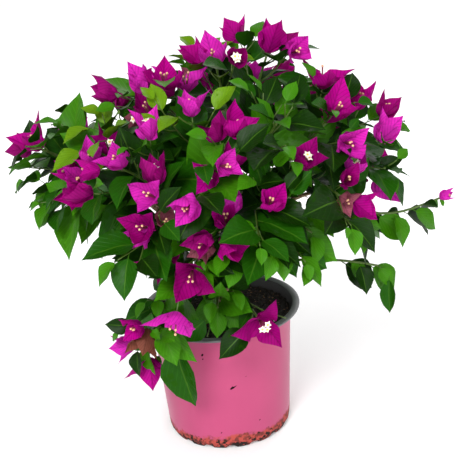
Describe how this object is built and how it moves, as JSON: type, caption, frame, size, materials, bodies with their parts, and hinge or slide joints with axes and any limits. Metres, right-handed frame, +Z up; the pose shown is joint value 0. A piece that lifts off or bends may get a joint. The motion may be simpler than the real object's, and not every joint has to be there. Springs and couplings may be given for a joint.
{
  "type": "bougainvillea bush in a nursery pot",
  "caption": "Bushy flowering shrub with magenta bracts and green leaves on arching woody boughs, standing in a round tapered plastic nursery pot filled with compost.",
  "frame": {"origin": "centre of the pot's flat underside", "axes": "+Z up along the pot's axis, -Y towards the front of the plant, +X towards its right seen from the front"},
  "size_m": [0.4568, 0.3886, 0.4342],
  "materials": {
    "pot": "pink moulded plastic with a grey rim",
    "compost": "dark potting compost",
    "bark": "thin tan bark",
    "foliage": "glossy green leaves",
    "blossom": "magenta papery bracts among green leaves"
  },
  "bodies": {
    "root": {"bough_back": "bark", "bough_back_high": "bark", "bough_back_left": "bark", "bough_back_left_low": "bark", "bough_back_right": "bark", "bough_back_right_low": "bark", "bough_crest": "bark", "bough_front": "bark", "bough_front_high": "bark", "bough_front_left": "bark", "bough_front_right": "bark", "bough_left": "bark", "bough_left_far": "bark", "bough_left_high": "bark", "bough_left_low": "bark", "bough_right": "bark", "bough_right_front": "bark", "bough_right_low": "bark", "bough_shoulder_right": "bark", "bough_summit": "bark", "bough_summit_back": "bark", "bough_top_front": "bark", "bough_top_left": "bark", "bough_top_right": "bark", "bough_trail_right": "bark", "compost": "compost", "mass_back": "blossom", "mass_back_high": "blossom", "mass_back_left": "blossom", "mass_back_left_low": "blossom", "mass_back_low": "blossom", "mass_back_right": "blossom", "mass_back_right_low": "blossom", "mass_crest": "blossom", "mass_front": "blossom", "mass_front_high": "blossom", "mass_front_left": "blossom", "mass_front_low": "blossom", "mass_front_right": "blossom", "mass_left": "blossom", "mass_left_far": "blossom", "mass_left_high": "blossom", "mass_left_low": "blossom", "mass_low_left": "foliage", "mass_over_rim_front": "blossom", "mass_over_rim_left": "blossom", "mass_over_rim_right": "blossom", "mass_right": "blossom", "mass_right_front": "foliage", "mass_right_low": "blossom", "mass_shoulder_right": "blossom", "mass_summit": "blossom", "mass_summit_back": "blossom", "mass_top_front": "blossom", "mass_top_left": "blossom", "mass_top_right": "blossom", "mass_trail_right": "foliage", "mass_trail_right_low": "foliage", "pot": "pot", "trunk": "bark"}
  },
  "joints": []
}
